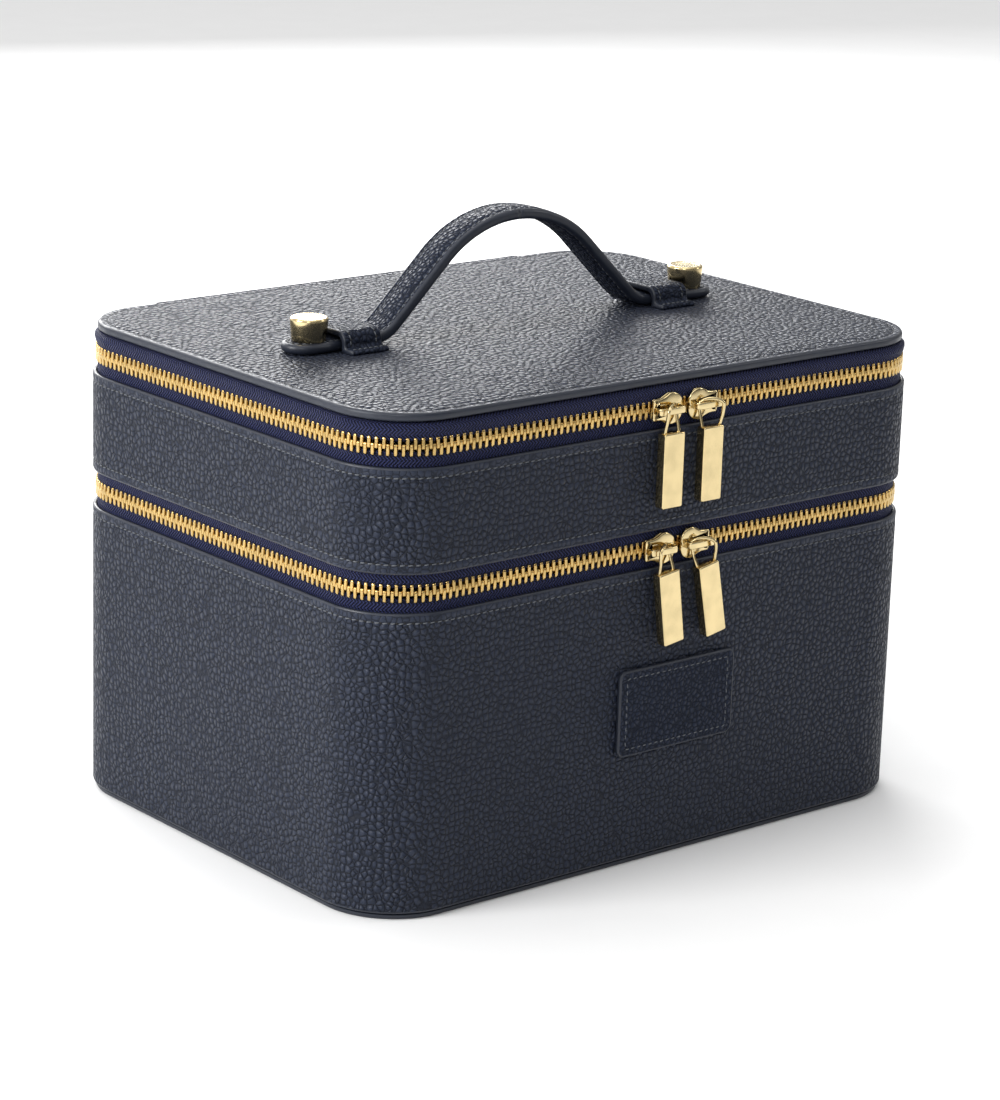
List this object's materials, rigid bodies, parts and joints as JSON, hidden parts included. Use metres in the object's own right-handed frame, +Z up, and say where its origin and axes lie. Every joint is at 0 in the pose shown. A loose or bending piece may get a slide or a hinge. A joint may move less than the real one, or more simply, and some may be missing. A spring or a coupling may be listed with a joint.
{
  "type": "jewellery case",
  "caption": "Two-tier leather jewellery case with zipped tiers hinged at the back, a flat lid with a flexible strap handle, and metal zip pulls.",
  "frame": {"origin": "middle of the base's underside, under the middle of the leather walls", "axes": "+Z up, the zip pulls on the front face towards -Y, the longer side along X"},
  "size_m": [0.25, 0.1951, 0.2145],
  "materials": {
    "leather": "dark navy pebble-grained leather, satin",
    "handle_leather": "dark navy pebble-grained leather, painted edges",
    "zip_tape": "navy herringbone-woven zip tape",
    "brass": "polished pale gold",
    "board": "raw fibreboard",
    "lining": "soft microfibre lining",
    "mirror_glass": "mirror glass"
  },
  "bodies": {
    "lower_case": {"base_panel": "leather", "lower_cover": "leather", "lower_board": "board", "lower_lining": "lining", "lower_floor_pad": "lining", "lower_divider_long": "lining", "lower_divider_left": "lining", "lower_divider_right": "lining", "front_patch": "leather", "zip_lower_tape_bottom": "zip_tape", "zip_lower_teeth_bottom": "brass", "zip_lower_stop_left": "brass", "zip_lower_stop_right": "brass"},
    "middle_tier": {"middle_cover": "leather", "middle_underside": "lining", "middle_board": "board", "middle_lining": "lining", "ring_cushion": "lining", "tray_divider_cross": "lining", "tray_divider_long": "lining", "tray_divider_front": "lining", "tray_divider_back": "lining", "zip_lower_teeth_top": "brass", "zip_lower_tape_top": "zip_tape", "zip_upper_tape_bottom": "zip_tape", "zip_upper_teeth_bottom": "brass", "zip_upper_stop_left": "brass", "zip_upper_stop_right": "brass", "hinge_strip_lower": "leather"},
    "lid": {"lid_cover": "leather", "lid_board": "board", "lid_lining": "lining", "lid_mirror": "mirror_glass", "mirror_frame": "leather", "zip_upper_teeth_top": "brass", "zip_upper_tape_top": "zip_tape", "hinge_strip_upper": "leather", "handle_keeper_left": "handle_leather", "handle_keeper_right": "handle_leather"},
    "slider_upper_left": {"slider_upper_left": "brass"},
    "pull_upper_left": {"pull_loop_upper_left": "brass", "pull_bar_upper_left": "brass"},
    "slider_upper_right": {"slider_upper_right": "brass"},
    "pull_upper_right": {"pull_loop_upper_right": "brass", "pull_bar_upper_right": "brass"},
    "slider_lower_left": {"slider_lower_left": "brass"},
    "pull_lower_left": {"pull_loop_lower_left": "brass", "pull_bar_lower_left": "brass"},
    "slider_lower_right": {"slider_lower_right": "brass"},
    "pull_lower_right": {"pull_loop_lower_right": "brass", "pull_bar_lower_right": "brass"},
    "handle_grip": {"handle_grip": "handle_leather", "handle_leg_left": "handle_leather", "handle_leg_right": "handle_leather"},
    "handle_end_left": {"handle_tab_left": "handle_leather", "stud_left": "brass", "stud_screw_left": "brass"},
    "handle_end_right": {"handle_tab_right": "handle_leather", "stud_right": "brass", "stud_screw_right": "brass"}
  },
  "joints": [
    {"name": "middle_hinge", "type": "hinge", "parent": "lower_case", "child": "middle_tier", "pos_m": [0, 0.0935, 0.1125], "axis": [-1, 0, 0], "range_deg": [0, 95], "deforming": ["hinge_strip_lower"]},
    {"name": "lid_hinge", "type": "hinge", "parent": "middle_tier", "child": "lid", "pos_m": [0, 0.0935, 0.1613], "axis": [-1, 0, 0], "range_deg": [0, 105], "deforming": ["hinge_strip_upper"]},
    {"name": "zip_upper_left", "type": "slide", "parent": "middle_tier", "child": "slider_upper_left", "axis": [-1, 0, 0], "range_m": [0, 0.084]},
    {"name": "pull_upper_left_swing", "type": "hinge", "parent": "slider_upper_left", "child": "pull_upper_left", "pos_m": [-0.0066, -0.0974, 0.1613], "axis": [-1, 0, 0], "range_deg": [0, 150]},
    {"name": "zip_upper_right", "type": "slide", "parent": "middle_tier", "child": "slider_upper_right", "axis": [1, 0, 0], "range_m": [0, 0.08]},
    {"name": "pull_upper_right_swing", "type": "hinge", "parent": "slider_upper_right", "child": "pull_upper_right", "pos_m": [0.0112, -0.0974, 0.1613], "axis": [-1, 0, 0], "range_deg": [0, 150]},
    {"name": "zip_lower_left", "type": "slide", "parent": "lower_case", "child": "slider_lower_left", "axis": [-1, 0, 0], "range_m": [0, 0.084]},
    {"name": "pull_lower_left_swing", "type": "hinge", "parent": "slider_lower_left", "child": "pull_lower_left", "pos_m": [-0.0073, -0.0974, 0.1125], "axis": [-1, 0, 0], "range_deg": [0, 150]},
    {"name": "zip_lower_right", "type": "slide", "parent": "lower_case", "child": "slider_lower_right", "axis": [1, 0, 0], "range_m": [0, 0.08]},
    {"name": "pull_lower_right_swing", "type": "hinge", "parent": "slider_lower_right", "child": "pull_lower_right", "pos_m": [0.0105, -0.0974, 0.1125], "axis": [-1, 0, 0], "range_deg": [0, 150]},
    {"name": "handle_drop", "type": "slide", "parent": "lid", "child": "handle_grip", "axis": [0, 0, -1], "range_m": [0, 0.028]},
    {"name": "handle_end_left_slide", "type": "slide", "parent": "handle_grip", "child": "handle_end_left", "axis": [-0.3939, 0, 0.9191], "range_m": [0, 0.03056], "deforming": ["handle_leg_left"]},
    {"name": "handle_end_right_slide", "type": "slide", "parent": "handle_grip", "child": "handle_end_right", "axis": [0.3939, 0, 0.9191], "range_m": [0, 0.03056], "deforming": ["handle_leg_right"]}
  ],
  "couplings": [
    {"joint": "handle_end_left_slide", "follows": "handle_drop", "ratio": 1.088},
    {"joint": "handle_end_right_slide", "follows": "handle_drop", "ratio": 1.088}
  ]
}
